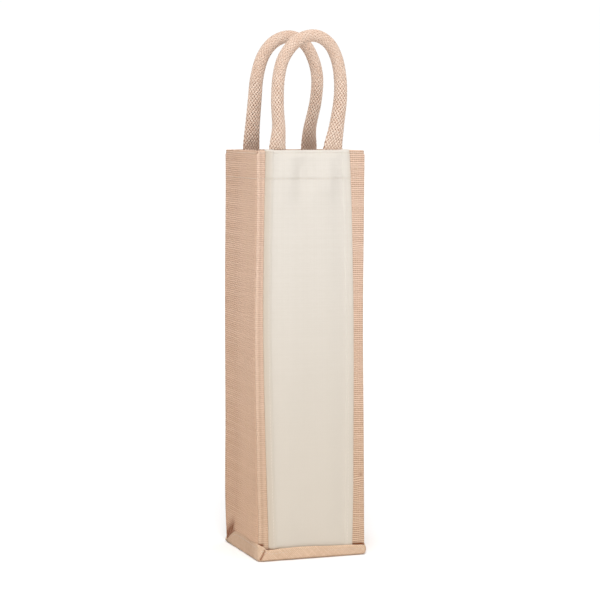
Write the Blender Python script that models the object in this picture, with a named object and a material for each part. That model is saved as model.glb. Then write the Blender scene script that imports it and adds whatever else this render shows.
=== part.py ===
"""Single-bottle gift bag: jute walls, a canvas front panel, a jute base with a turned-up
cuff, and two braided handles over cord cores.

Metres, +Z up. The origin is under the middle of the base, the canvas panel faces -Y,
and +X is to the right of someone who looks at the canvas.
"""

import math

import bmesh
import bpy
from mathutils import Vector

# Driving dimensions.
WIDTH = 0.100  # over the jute walls, left to right
DEPTH = 0.092  # over the jute walls, front to back
HEIGHT = 0.360  # the rim of the front, over the canvas
JUTE = 0.0012  # thickness of the jute
CANVAS = 0.0006  # thickness of the canvas
GAP = 0.0003  # between two layers that touch
HEM = 0.026  # length of the leaf folded down inside the mouth
SEAM_ALLOWANCE = 0.0075  # gusset edge turned in behind the front and back panels
THREAD = 0.0005

RIM_ROW = 0.003  # the rows of stitching: below the rim,
HEM_ROW = 0.001  # above the lower edge of the hem's leaf,
CUFF_ROW = 0.003  # below the front edge of the cuff,
CANVAS_ROW = 0.0045  # in from the canvas panel's side edges,
SEAM_ROW_FOOT = 0.003  # and the lower end of the gusset seams
TAB_ROW_SIDE = 0.002  # the box sewn on a handle tab, in from the tab's sides
TAB_ROW_END = 0.003  # and in from its ends

CANVAS_LEFT = -0.0415
CANVAS_RIGHT = 0.0370
CANVAS_TURN = 0.006  # side edge of the canvas, turned under

CUFF_SLACK = 0.0005  # the cuff stands off the gussets by this
CUFF_FRONT_HEIGHT = 0.0105
CUFF_SIDE_HEIGHT = 0.0140
CUFF_CORNER = 0.0025
CUFF_CORNER_WRAP = 0.008  # how far the taller side cuff runs round onto the front

HANDLE_DIAMETER = 0.0113
HANDLE_WALL = 0.0022
HANDLE_SIDES = 12
HANDLE_STEP = 0.006  # spacing of the rings along a handle
CURVE_STEPS = 16  # points on a handle's curve between two of its own
FLAT_WIDTH = 0.016  # the handle's ends are pressed flat where they go into the bag
FLAT_THICKNESS = 0.005
FLAT_RUN = 0.022
CORE_DIAMETER = HANDLE_DIAMETER - 2 * HANDLE_WALL - 2 * GAP

TAB_WIDTH = 0.016
TAB_THICKNESS = 0.0024
TAB_TOP = HEIGHT - 0.001
TAB_BOTTOM = HEIGHT - 0.025
LEG_START = HEIGHT + 0.003  # a handle's free length starts here

# Places worked out from them.
WALL_X = WIDTH / 2
WALL_Y = DEPTH / 2
FLOOR_TOP = JUTE
WALL_FOOT = FLOOR_TOP + GAP
JUTE_RIM = HEIGHT - CANVAS - GAP
CANVAS_FACE = WALL_Y + GAP + CANVAS
CANVAS_EDGE_FACE = CANVAS_FACE + GAP
CUFF_INNER_X = WALL_X + CUFF_SLACK
CUFF_INNER_Y = CANVAS_EDGE_FACE + GAP
FRONT_TAB_Y = -(WALL_Y - 2 * JUTE - CANVAS - 3 * GAP - TAB_THICKNESS / 2)
REAR_TAB_Y = WALL_Y - 2 * JUTE - 2 * GAP - TAB_THICKNESS / 2
HINGE_Z = HEIGHT + 0.0012
FRONT_HINGE_Y = -CANVAS_FACE
REAR_HINGE_Y = WALL_Y

# The middle line of each handle, as (x, z), from the left end over the top to the right end.
FRONT_LOOP = [
    (-0.0299, LEG_START),
    (-0.0286, 0.379),
    (-0.0296, 0.401),
    (-0.0283, 0.423),
    (-0.0232, 0.440),
    (-0.0115, 0.4535),
    (0.0040, 0.4583),
    (0.0168, 0.4525),
    (0.0244, 0.440),
    (0.0280, 0.423),
    (0.0282, 0.403),
    (0.0245, 0.379),
    (0.0214, LEG_START),
]
REAR_LOOP = [
    (-0.0267, LEG_START),
    (-0.0257, 0.379),
    (-0.0236, 0.403),
    (-0.0214, 0.424),
    (-0.0158, 0.4425),
    (-0.0055, 0.4555),
    (0.0090, 0.4609),
    (0.0225, 0.4560),
    (0.0316, 0.4430),
    (0.0363, 0.425),
    (0.0349, 0.403),
    (0.0295, 0.379),
    (0.0285, LEG_START),
]


def principled(name, colour, roughness):
    material = bpy.data.materials.new(name)
    material.use_nodes = True
    shader = material.node_tree.nodes["Principled BSDF"]
    shader.inputs["Base Color"].default_value = (*colour, 1.0)
    shader.inputs["Roughness"].default_value = roughness
    shader.inputs["Metallic"].default_value = 0.0
    return material


def new_object(name, mesh, material):
    made = bpy.data.objects.new(name, mesh)
    bpy.context.scene.collection.objects.link(made)
    mesh.materials.append(material)
    return made


def bar(name, low, high, material, turn=0.0):
    """A rectangular bar between two corners, turned about its own middle in the XZ plane."""
    low, high = Vector(low), Vector(high)
    middle = (low + high) / 2
    size = high - low
    cos, sin = math.cos(turn), math.sin(turn)
    shape = bmesh.new()
    bmesh.ops.create_cube(shape, size=1.0)
    for corner in shape.verts:
        x, y, z = (corner.co[i] * size[i] for i in range(3))
        corner.co = middle + Vector((x * cos - z * sin, y, x * sin + z * cos))
    mesh = bpy.data.meshes.new(name)
    shape.to_mesh(mesh)
    shape.free()
    return new_object(name, mesh, material)


def combine(base, tools, operation="UNION", solver="EXACT"):
    """Joins the tools to the base, or cuts them from it, and keeps them as hidden helpers."""
    for number, tool in enumerate(tools):
        tool.hide_render = True
        tool.display_type = "WIRE"
        step = base.modifiers.new(f"{operation.lower()}_{number}", "BOOLEAN")
        step.operation = operation
        step.solver = solver
        step.object = tool
    return base


def built_from_bars(name, bars, material, solver="EXACT"):
    """One solid from overlapping bars, each given as (low corner, high corner) or with a turn."""
    first = bar(name, *bars[0][:2], material, *bars[0][2:])
    rest = [bar(f"{name}_helper_{i}", *b[:2], material, *b[2:]) for i, b in enumerate(bars[1:])]
    return combine(first, rest, solver=solver)


def mirrored_y(bars, side):
    """The same bars on the side of the bag where Y has this sign."""
    turned = []
    for low, high in bars:
        ys = sorted((side * low[1], side * high[1]))
        turned.append(((low[0], ys[0], low[2]), (high[0], ys[1], high[2])))
    return turned


def jute_end_panel(name, side, material):
    """The front or the back: a flat wall with its top folded down inside as a hem."""
    leaf_x = WALL_X - JUTE - GAP
    leaf_out = WALL_Y - JUTE - GAP
    leaf_in = leaf_out - JUTE
    wall = ((-WALL_X, WALL_Y - JUTE, WALL_FOOT), (WALL_X, WALL_Y, JUTE_RIM))
    fold = ((-leaf_x, leaf_in, JUTE_RIM - JUTE), (leaf_x, WALL_Y, JUTE_RIM))
    leaf = ((-leaf_x, leaf_in, HEIGHT - HEM), (leaf_x, leaf_out, JUTE_RIM))
    return built_from_bars(name, mirrored_y([wall, fold, leaf], side), material)


def jute_gusset(name, side, material):
    """A side wall with a hem, and with both edges turned in behind the front and the back."""
    edge_y = WALL_Y - JUTE - GAP
    leaf_y = edge_y - JUTE - GAP
    leaf_out = WALL_X - JUTE - GAP
    leaf_in = leaf_out - JUTE
    turn_top = HEIGHT - HEM - 5 * GAP
    turn_in = leaf_out - SEAM_ALLOWANCE
    pieces = [
        ((WALL_X - JUTE, -edge_y, WALL_FOOT), (WALL_X, edge_y, JUTE_RIM)),
        ((leaf_in, -leaf_y, JUTE_RIM - JUTE), (WALL_X, leaf_y, JUTE_RIM)),
        ((leaf_in, -leaf_y, HEIGHT - HEM), (leaf_out, leaf_y, JUTE_RIM)),
        ((turn_in, -edge_y, WALL_FOOT), (WALL_X, -edge_y + JUTE, turn_top)),
        ((turn_in, edge_y - JUTE, WALL_FOOT), (WALL_X, edge_y, turn_top)),
    ]
    placed = []
    for low, high in pieces:
        xs = sorted((side * low[0], side * high[0]))
        placed.append(((xs[0], low[1], low[2]), (xs[1], high[1], high[2])))
    return built_from_bars(name, placed, material)


def canvas_front(material):
    """The canvas on the front, turned under at both sides and folded in over the rim."""
    face = -CANVAS_FACE
    back = -(WALL_Y + GAP)
    leaf_out = -(WALL_Y - 2 * JUTE - 2 * GAP)
    leaf_in = leaf_out + CANVAS
    foot = WALL_FOOT + GAP
    bars = [
        ((CANVAS_LEFT, face, foot), (CANVAS_RIGHT, back, HEIGHT)),
        ((CANVAS_LEFT, -CANVAS_EDGE_FACE, foot), (CANVAS_LEFT + CANVAS_TURN, back, HEIGHT)),
        ((CANVAS_RIGHT - CANVAS_TURN, -CANVAS_EDGE_FACE, foot), (CANVAS_RIGHT, back, HEIGHT)),
        ((CANVAS_LEFT, face, HEIGHT - CANVAS), (CANVAS_RIGHT, leaf_in, HEIGHT)),
        ((CANVAS_LEFT, leaf_out, HEIGHT - HEM), (CANVAS_RIGHT, leaf_in, HEIGHT)),
    ]
    return built_from_bars("canvas_panel", bars, material, solver="MANIFOLD")


def rounded_block(name, half_x, half_y, bottom, top, radius, material):
    """A block whose four upright edges are rounded."""
    block = bar(name, (-half_x, -half_y, bottom), (half_x, half_y, top), material)
    shape = bmesh.new()
    shape.from_mesh(block.data)
    upright = [e for e in shape.edges if abs((e.verts[0].co - e.verts[1].co).z) > (top - bottom) / 2]
    bmesh.ops.bevel(shape, geom=upright, offset=radius, segments=4, affect="EDGES", profile=0.5)
    shape.to_mesh(block.data)
    shape.free()
    return block


def jute_base(material):
    """The floor and the cuff that turns up round the foot of the walls."""
    inside_x, inside_y = CUFF_INNER_X, CUFF_INNER_Y
    outside_x, outside_y = inside_x + JUTE, inside_y + JUTE
    over_top = CUFF_SIDE_HEIGHT + JUTE
    tray = rounded_block("base_panel", outside_x, outside_y, 0.0, CUFF_SIDE_HEIGHT, CUFF_CORNER, material)
    hollow = rounded_block("base_hollow", inside_x, inside_y, FLOOR_TOP, over_top, CUFF_CORNER / 2, material)
    lip_x = WALL_X - CUFF_CORNER_WRAP
    dips = []
    for side in (-1, 1):
        ys = sorted((side * (inside_y - JUTE), side * (inside_y + 3 * JUTE)))
        low = (-lip_x, ys[0], CUFF_FRONT_HEIGHT)
        dips.append(bar(f"base_dip_{side}", low, (lip_x, ys[1], over_top), material))
    return combine(tray, [hollow, *dips], "DIFFERENCE")


def smooth_line(points, step):
    """Evenly spaced points on a Catmull-Rom curve through the points."""
    ends = [2 * points[0] - points[1], *points, 2 * points[-1] - points[-2]]
    fine = []
    for a, b, c, d in zip(ends, ends[1:], ends[2:], ends[3:]):
        for i in range(CURVE_STEPS):
            t = i / CURVE_STEPS
            bend = (2 * a - 5 * b + 4 * c - d) * t * t + (3 * b - a - 3 * c + d) * t * t * t
            fine.append((2 * b + (c - a) * t + bend) / 2)
    fine.append(points[-1])
    lengths = [0.0]
    for a, b in zip(fine, fine[1:]):
        lengths.append(lengths[-1] + (b - a).length)
    count = round(lengths[-1] / step)
    spaced = []
    for i in range(count + 1):
        target = lengths[-1] * i / count
        k = max(j for j in range(len(fine) - 1) if lengths[j] <= target + 1e-12)
        share = (target - lengths[k]) / (lengths[k + 1] - lengths[k])
        spaced.append(fine[k].lerp(fine[k + 1], min(share, 1.0)))
    return spaced


def ease(share):
    share = min(max(share, 0.0), 1.0)
    return share * share * (3 - 2 * share)


def rings_along(line, half_sizes):
    """Rings of points round a line in an XZ plane. half_sizes gives (in-plane, along Y) at each."""
    rings = []
    for i, point in enumerate(line):
        before, after = line[max(i - 1, 0)], line[min(i + 1, len(line) - 1)]
        ahead = (after - before).normalized()
        sideways = Vector((ahead.z, 0.0, -ahead.x))
        across, deep = half_sizes[i]
        ring = []
        for k in range(HANDLE_SIDES):
            turn = 2 * math.pi * k / HANDLE_SIDES
            outward = sideways * across * math.cos(turn) + Vector((0, deep * math.sin(turn), 0))
            ring.append(point + outward)
        rings.append(ring)
    return rings


def skin(shape, rings):
    """Adds the rings to a bmesh with faces between them, and returns their vertices."""
    rows = [[shape.verts.new(p) for p in ring] for ring in rings]
    for lower, upper in zip(rows, rows[1:]):
        bridge(shape, lower, upper)
    return rows


def bridge(shape, lower, upper):
    for k in range(HANDLE_SIDES):
        n = (k + 1) % HANDLE_SIDES
        shape.faces.new((lower[k], lower[n], upper[n], upper[k]))


def finished(name, shape, material):
    bmesh.ops.recalc_face_normals(shape, faces=shape.faces)
    mesh = bpy.data.meshes.new(name)
    shape.to_mesh(mesh)
    shape.free()
    mesh.shade_smooth()
    mesh.set_sharp_from_angle(angle=math.radians(40))
    return new_object(name, mesh, material)


def handle_line(loop, y):
    return smooth_line([Vector((x, y, z)) for x, z in loop], HANDLE_STEP)


def handle_sleeve(name, loop, y, material):
    """The woven tube, open at both ends, where it is pressed flat."""
    line = handle_line(loop, y)
    length = HANDLE_STEP * (len(line) - 1)
    outer, inner = [], []
    for i in range(len(line)):
        from_end = min(i, len(line) - 1 - i) * length / (len(line) - 1)
        roundness = ease(from_end / FLAT_RUN)
        across = FLAT_WIDTH / 2 + (HANDLE_DIAMETER - FLAT_WIDTH) / 2 * roundness
        deep = FLAT_THICKNESS / 2 + (HANDLE_DIAMETER - FLAT_THICKNESS) / 2 * roundness
        outer.append((across, deep))
        inner.append((across - HANDLE_WALL, deep - HANDLE_WALL))
    shape = bmesh.new()
    skins = [skin(shape, rings_along(line, sizes)) for sizes in (outer, inner)]
    for end in (0, -1):
        bridge(shape, skins[0][end], skins[1][end])
    return finished(name, shape, material)


def handle_core(name, loop, y, material):
    """The cord that fills the round part of a sleeve."""
    line = handle_line(loop, y)
    skipped = math.ceil(FLAT_RUN / HANDLE_STEP) + 1
    radius = CORE_DIAMETER / 2
    shape = bmesh.new()
    rings = rings_along(line, [(radius, radius)] * len(line))[skipped:-skipped]
    rows = skin(shape, rings)
    for end in (0, -1):
        shape.faces.new(rows[end])
    return finished(name, shape, material)


def handle_tab(name, x, y, material):
    """A flattened end of a handle, sewn inside the mouth."""
    low = (x - TAB_WIDTH / 2, y - TAB_THICKNESS / 2, TAB_BOTTOM)
    high = (x + TAB_WIDTH / 2, y + TAB_THICKNESS / 2, TAB_TOP)
    return bar(name, low, high, material)


def tab_stitching(name, x, y, side, material):
    """The box with a cross that is sewn through a tab. It lies on the tab's inner face."""
    inner = y - side * (TAB_THICKNESS / 2 + GAP)
    ys = sorted((inner, inner - side * THREAD))
    half_x = TAB_WIDTH / 2 - TAB_ROW_SIDE
    bottom, top = TAB_BOTTOM + TAB_ROW_END, TAB_TOP - TAB_ROW_END
    middle = (bottom + top) / 2
    diagonal = math.hypot(2 * half_x, top - bottom) / 2
    slope = math.atan2(top - bottom, 2 * half_x)

    def flat(x0, z0, x1, z1, turn=0.0):
        return ((x0, ys[0], z0), (x1, ys[1], z1), turn)

    bars = [
        flat(x - half_x, bottom, x + half_x, bottom + THREAD),
        flat(x - half_x, top - THREAD, x + half_x, top),
        flat(x - half_x, bottom, x - half_x + THREAD, top),
        flat(x + half_x - THREAD, bottom, x + half_x, top),
        flat(x - diagonal, middle - THREAD / 2, x + diagonal, middle + THREAD / 2, slope),
        flat(x - diagonal, middle - THREAD / 2, x + diagonal, middle + THREAD / 2, -slope),
    ]
    return built_from_bars(name, bars, material)


def thread_round(name, left_right, front, back, z, material):
    """A row of stitching all the way round the outside, as one closed thread."""
    outer = bar(
        name,
        (-left_right - THREAD, -front - THREAD, z - THREAD / 2),
        (left_right + THREAD, back + THREAD, z + THREAD / 2),
        material,
    )
    inside = bar(f"{name}_inside", (-left_right, -front, z - THREAD), (left_right, back, z + THREAD), material)
    return combine(outer, [inside], "DIFFERENCE")


def thread_up(name, x, y, bottom, top, material):
    """An upright row of stitching whose outermost face is THREAD further from the middle than y."""
    ys = sorted((y, y + math.copysign(THREAD, y)))
    return bar(name, (x - THREAD / 2, ys[0], bottom), (x + THREAD / 2, ys[1], top), material)


def hinged(name, y, nodes):
    """An empty on a handle's fold line, which carries the handle's pieces."""
    pivot = bpy.data.objects.new(name, None)
    pivot.location = (0.0, y, HINGE_Z)
    bpy.context.scene.collection.objects.link(pivot)
    bpy.context.view_layer.update()
    for node in nodes:
        node.parent = pivot
        node.matrix_parent_inverse = pivot.matrix_world.inverted()


def make_walls(jute, canvas):
    jute_end_panel("front_panel", -1, jute)
    jute_end_panel("back_panel", 1, jute)
    jute_gusset("left_gusset", -1, jute)
    jute_gusset("right_gusset", 1, jute)
    jute_base(jute)
    canvas_front(canvas)


def make_handles(webbing, filler, thread):
    for where, loop, y, side, hinge_y in (
        ("front", FRONT_LOOP, FRONT_TAB_Y, -1, FRONT_HINGE_Y),
        ("rear", REAR_LOOP, REAR_TAB_Y, 1, REAR_HINGE_Y),
    ):
        sleeve = handle_sleeve(f"{where}_handle_sleeve", loop, y, webbing)
        core = handle_core(f"{where}_handle_core", loop, y, filler)
        hinged(f"{where}_handle_fold_line", hinge_y, [sleeve, core])
        for hand, (x, _) in (("left", loop[0]), ("right", loop[-1])):
            handle_tab(f"{where}_{hand}_handle_tab", x, y, webbing)
            tab_stitching(f"{where}_{hand}_tab_stitching", x, y, side, thread)


def make_stitching(thread):
    side_face = WALL_X + GAP
    front_face = CANVAS_EDGE_FACE + GAP
    back_face = WALL_Y + GAP
    thread_round("rim_stitching", side_face, front_face, back_face, HEIGHT - RIM_ROW, thread)
    thread_round("hem_stitching", side_face, front_face, back_face, HEIGHT - HEM + HEM_ROW, thread)
    cuff_x = CUFF_INNER_X + JUTE + GAP
    cuff_y = CUFF_INNER_Y + JUTE + GAP
    thread_round("cuff_stitching", cuff_x, cuff_y, cuff_y, CUFF_FRONT_HEIGHT - CUFF_ROW, thread)
    canvas_rows = (("canvas_left_stitching", CANVAS_LEFT), ("canvas_right_stitching", CANVAS_RIGHT))
    for (name, edge), inward in zip(canvas_rows, (1, -1)):
        bottom, top = CUFF_FRONT_HEIGHT + 2 * THREAD, HEIGHT - HEM - 2 * THREAD
        thread_up(name, edge + inward * CANVAS_ROW, -front_face, bottom, top, thread)
    seam_x = WALL_X - JUTE - GAP - SEAM_ALLOWANCE / 2
    seam_y = WALL_Y - 2 * JUTE - 2 * GAP - THREAD
    for where, side_y in (("front", -1), ("rear", 1)):
        for hand, side_x in (("left", -1), ("right", 1)):
            name = f"{where}_{hand}_seam_stitching"
            top = HEIGHT - HEM - SEAM_ROW_FOOT
            thread_up(name, side_x * seam_x, side_y * seam_y, SEAM_ROW_FOOT, top, thread)


def main():
    for old in list(bpy.data.objects):
        bpy.data.objects.remove(old)
    jute = principled("jute", (0.66, 0.47, 0.35), 0.9)
    canvas = principled("canvas", (0.86, 0.82, 0.74), 0.85)
    webbing = principled("webbing", (0.76, 0.57, 0.45), 0.85)
    filler = principled("filler_cord", (0.82, 0.78, 0.70), 0.9)
    thread = principled("thread", (0.80, 0.68, 0.56), 0.6)
    make_walls(jute, canvas)
    make_handles(webbing, filler, thread)
    make_stitching(thread)


main()
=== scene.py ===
"""The looks of a single-bottle gift bag: jute walls with folded corners and a hemmed mouth, a
jute base with a turned-up cuff, a slack canvas front, two braided handles and their stitching.

Metres, +Z up. The canvas is on -Y and +X is to the right of someone who looks at it.
"""

import math
import random

import bpy
import numpy as np
from mathutils import Matrix, Vector


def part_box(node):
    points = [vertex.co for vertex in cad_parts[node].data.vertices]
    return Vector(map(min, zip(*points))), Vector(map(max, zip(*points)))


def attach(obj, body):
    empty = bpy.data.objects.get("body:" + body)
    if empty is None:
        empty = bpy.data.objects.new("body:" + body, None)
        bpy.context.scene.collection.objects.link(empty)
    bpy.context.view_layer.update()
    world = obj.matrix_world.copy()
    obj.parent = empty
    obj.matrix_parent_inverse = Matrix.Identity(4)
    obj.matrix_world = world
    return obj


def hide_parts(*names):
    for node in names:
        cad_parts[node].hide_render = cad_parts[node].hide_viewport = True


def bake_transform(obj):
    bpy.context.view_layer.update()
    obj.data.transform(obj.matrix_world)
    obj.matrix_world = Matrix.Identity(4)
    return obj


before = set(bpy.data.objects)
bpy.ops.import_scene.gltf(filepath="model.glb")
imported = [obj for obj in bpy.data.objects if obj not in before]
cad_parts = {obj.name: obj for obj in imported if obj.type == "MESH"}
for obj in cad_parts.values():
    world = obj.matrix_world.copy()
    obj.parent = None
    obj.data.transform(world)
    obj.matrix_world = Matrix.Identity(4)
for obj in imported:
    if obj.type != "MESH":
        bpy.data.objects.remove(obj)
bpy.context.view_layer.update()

MM = 0.001
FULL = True


def low(node):
    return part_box(node)[0]


def high(node):
    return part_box(node)[1]


# Places read from the frame.
LEFT, RIGHT = low("left_gusset").x, high("right_gusset").x
FRONT, BACK = low("front_panel").y, high("back_panel").y
FOOT, JUTE_RIM = low("front_panel").z, high("front_panel").z
RIM = high("canvas_panel").z
HEM_EDGE = low("front_left_handle_tab").z - 1 * MM
CUFF_X, CUFF_Y = high("base_panel").x, high("base_panel").y
RIM_ROW = (low("rim_stitching").z + high("rim_stitching").z) / 2
HEM_ROW = (low("hem_stitching").z + high("hem_stitching").z) / 2
CANVAS_ROW_FOOT = low("canvas_left_stitching").z
TAB_FOOT = low("front_left_handle_tab").z
FRONT_HANDLE_Y = (low("front_left_handle_tab").y + high("front_left_handle_tab").y) / 2
REAR_HANDLE_Y = (low("rear_left_handle_tab").y + high("rear_left_handle_tab").y) / 2

# Cloth.
JUTE = 1.0 * MM
CANVAS = 0.45 * MM
RIB = 1.8 * MM  # one weft yarn of the jute
RIB_HEIGHT = 0.22 * MM
WARP = 2.1 * MM
FOLD_MIDDLE = 1.15 * MM  # depth of the middle of the folded rim under the outer face
FOLD_BASE = JUTE_RIM - FOLD_MIDDLE  # the folds over the rim start here

# How each upright corner leans off the square, as (height, right, back), all in millimetres.
# The order is front left, front right, rear right, rear left.
LEAN = [
    [(0, 0.6, 0.2), (20, 1.1, 0.2), (81, -0.1, 0.0), (204, -1.6, 0.2), (317, 0.3, 0.2), (360, 0.1, 0.0)],
    [(0, 0.0, 0.3), (22, -0.2, 0.3), (110, -0.9, 0.0), (201, -2.0, -0.3), (300, -1.3, 0.0), (360, -0.8, 0.0)],
    [(0, 0.0, -0.4), (60, 0.2, -0.2), (150, -0.6, 0.5), (250, -0.9, 0.4), (360, -0.3, 0.0)],
    [(0, 0.2, -0.5), (20, -0.6, 0.1), (120, -0.7, 0.3), (240, -0.7, 0.3), (330, 0.1, 0.0), (360, 0.1, 0.0)],
]
CORNERS = [(LEFT, FRONT), (RIGHT, FRONT), (RIGHT, BACK), (LEFT, BACK)]
SIDES = {"front": (0, 1), "right": (1, 2), "back": (2, 3), "left": (3, 0)}
BULGE = {"front": 0.5 * MM, "right": 1.3 * MM, "back": 1.2 * MM, "left": -0.4 * MM}

# The section of a panel's edge at a corner, as (distance along, depth), in millimetres. The
# front and the back roll round it in a bead, and the gussets turn in behind the bead.
BEAD = [(3.6, 2.1), (1.7, 1.95), (0.6, 1.4), (0.25, 0.6), (0.6, -0.1), (1.3, -0.2), (2.1, 0.15), (3.0, 0.45)]
TUCK = [(3.2, 7.5), (3.15, 4.2), (3.1, 2.4), (3.2, 1.5), (3.6, 0.85), (4.5, 0.55)]

# The side edges of the canvas, as (height, x), in millimetres.
CANVAS_LEFT = [(0, -39.4), (19, -39.7), (85, -41.8), (204, -44.2), (300, -43.2), (360, -42.0)]
CANVAS_RIGHT = [(0, 37.7), (14, 38.0), (121, 38.7), (272, 37.4), (330, 35.6), (360, 34.3)]
CANVAS_TURN = 6 * MM
CANVAS_STEP = 1.3 * MM  # over this the canvas settles from its doubled edge to one layer
WAVES_FROM = 331 * MM  # above this the canvas's rows lie closer together

# The top of the cuff, as (x or y, height), in millimetres.
CUFF_TOP = {
    "front": [(-52, 14.2), (-47, 13.7), (-45.2, 13.0), (-43.6, 10.3), (-40, 9.9), (-30, 10.4), (-11, 10.9),
              (17, 9.8), (43, 8.8), (49, 8.2), (52, 6.4)],
    "right": [(-50, 6.4), (-46, 8.2), (-38, 10.5), (0, 12.5), (50, 12.0)],
    "back": [(-52, 3.4), (-46, 6.5), (-38, 10.5), (0, 11.0), (52, 12.0)],
    "left": [(-50, 14.8), (3, 15.9), (18, 15.2), (30, 10.0), (41, 3.8), (46, 2.8), (50, 2.8)],
}

# The middle line of each handle as (x, z), from the left tab over the top to the right tab.
FRONT_ROUTE = [
    (-0.0299, 0.3355),
    (-0.0300, 0.3500),
    (-0.0299, 0.3630),
    (-0.0286, 0.3790),
    (-0.0296, 0.4010),
    (-0.0283, 0.4230),
    (-0.0232, 0.4400),
    (-0.0115, 0.4535),
    (0.0040, 0.4583),
    (0.0168, 0.4525),
    (0.0244, 0.4400),
    (0.0280, 0.4230),
    (0.0282, 0.4030),
    (0.0245, 0.3790),
    (0.0214, 0.3630),
    (0.0210, 0.3500),
    (0.0212, 0.3355),
]
REAR_ROUTE = [
    (-0.0267, 0.3355),
    (-0.0267, 0.3500),
    (-0.0267, 0.3630),
    (-0.0257, 0.3790),
    (-0.0236, 0.4030),
    (-0.0214, 0.4240),
    (-0.0158, 0.4425),
    (-0.0055, 0.4555),
    (0.0090, 0.4609),
    (0.0225, 0.4560),
    (0.0316, 0.4430),
    (0.0363, 0.4250),
    (0.0349, 0.4030),
    (0.0295, 0.3790),
    (0.0285, 0.3630),
    (0.0285, 0.3500),
    (0.0285, 0.3355),
]
# The width over each leg, as (distance from its sewn end, width), in millimetres.
LEG_WIDTHS = {
    "front_left": [(0, 16.0), (22, 16.2), (30, 14.2), (42, 11.9), (70, 11.1), (110, 11.1)],
    "front_right": [(0, 17.6), (22, 19.2), (30, 16.8), (42, 14.1), (70, 11.8), (88, 11.2), (110, 11.0)],
    "rear_left": [(0, 16.0), (24, 16.0), (42, 13.9), (70, 12.7), (90, 12.2), (110, 11.8)],
    "rear_right": [(0, 15.8), (24, 15.6), (42, 12.0), (70, 11.0), (90, 11.1), (110, 11.0)],
}
HANDLE = 11.3 * MM
YARNS = 12  # in each direction round a braid
LAY = 48 * MM  # length in which a yarn goes once round
CROSSING = LAY / (2 * YARNS)
YARN_WIDTH = 1.85 * MM
YARN_THICKNESS = 1.0 * MM
YARN_LIFT = 0.4 * MM  # how far a yarn rises at a crossing, and sinks at the next
CROWN, CROWN_RISE = 0.405, 0.03  # above this height, over this distance, the braid is smoother
FILLER_START = 52 * MM  # from each sewn end: the filler lies in the round part only
LAY_OF_STRANDS = 26 * MM
STRAND = 1.95 * MM  # radius of one of the filler's three strands
STRAND_PLACE = 2.05 * MM  # and its distance from the middle of the cord


# Light.
SKY = 0.42  # the strength of the sky on the bag
SKY_SEEN = 1.02  # and to the camera
SUNS = [("key", (-0.26, -0.80, 0.75), 28, 1.8), ("overhead", (0.0, 0.0, 1.0), 90, 1.2)]
TOP_POWER = 1.0
TOP_SIZE = 0.8
TOP_PLACE = (-0.15, -0.55, 1.25)
TOP_AIM = (0, 0, 0.3)
FLOOR_SIZE = 60.0

# The camera: its place, its turn to the left and its tilt down in degrees, and its lens.
EYE = (-0.5841, -1.6970, 0.3827)
EYE_YAW, EYE_PITCH = -19.152, 5.023
LENS = 120.73


# Shapes and numbers.


def ease(share):
    share = np.clip(share, 0.0, 1.0)
    return share * share * (3 - 2 * share)


def hump(distance, width):
    """1 at distance 0, falling to nothing a few widths away."""
    return np.exp(-((distance / width) ** 2))


def through(table, x):
    """A smooth curve through (place, value) pairs, read at x and flat past both ends."""
    at = np.array([row[0] for row in table], float)
    value = np.array([row[1] for row in table], float)
    slope = np.gradient(value, at)
    x = np.clip(x, at[0], at[-1])
    i = np.clip(np.searchsorted(at, x, side="right") - 1, 0, len(at) - 2)
    span = at[i + 1] - at[i]
    t = (x - at[i]) / span
    start = value[i] * (1 + 2 * t) * (1 - t) ** 2 + slope[i] * span * t * (1 - t) ** 2
    return start + value[i + 1] * t * t * (3 - 2 * t) + slope[i + 1] * span * t * t * (t - 1)


def ripple(seed, u, v, longest=0.16, shortest=0.05, waves=6):
    """A smooth random surface over (u, v), mostly between -1 and 1."""
    chance = random.Random(seed)
    total = 0.0
    for _ in range(waves):
        length = chance.uniform(shortest, longest)
        turn, phase = chance.uniform(0, math.pi), chance.uniform(0, 2 * math.pi)
        across = u * math.cos(turn) + v * math.sin(turn)
        total = total + np.sin(2 * math.pi * across / length + phase) * length / longest
    return total / math.sqrt(waves)


def corner_at(number, z):
    """The outer corner at height z, as (x, y)."""
    lean = LEAN[number]
    x = CORNERS[number][0] + MM * through([(h, dx) for h, dx, _ in lean], z / MM)
    y = CORNERS[number][1] + MM * through([(h, dy) for h, _, dy in lean], z / MM)
    return np.stack([x, y], -1)


def slack(side, share, z):
    """How far a wall's cloth stands out from the straight line between its corners."""
    height = np.clip((z - FOOT) / (RIM - FOOT), 0, 1)
    held = ease(np.minimum(share, 1 - share) / 0.14) * ease(z / 0.03) * (1 - 0.6 * ease((height - 0.9) / 0.1))
    swell = BULGE[side] * np.sin(math.pi * np.clip(share, 0, 1)) * np.sin(math.pi * height) ** 0.7
    out = held * (swell + 0.45 * MM * ripple(side, share * 0.1, z))
    if side == "left":
        out = out - ruche(share, z)
    return out


def ruche(share, z):
    """Above the left cuff the wall puffs out as far as the cuff, with gathers towards the rear."""
    along = share * (BACK - FRONT) / MM
    up = z / MM
    over = up - through(CUFF_TOP["left"], BACK / MM - along)
    pleats = 0.4 * np.sin(2 * math.pi * (along + 0.3 * up) / 3.4) * hump(along - 14, 13) * hump(over - 4, 5)
    puff = (1.25 - 0.35 * hump(along - 45, 12)) * ease((along - 1) / 4) * ease((91 - along) / 8)
    puff = puff * ease((over + 0.8) / 1.6) * (1 - ease((over - 6) / 40))
    return (pleats - puff) * MM


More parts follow.
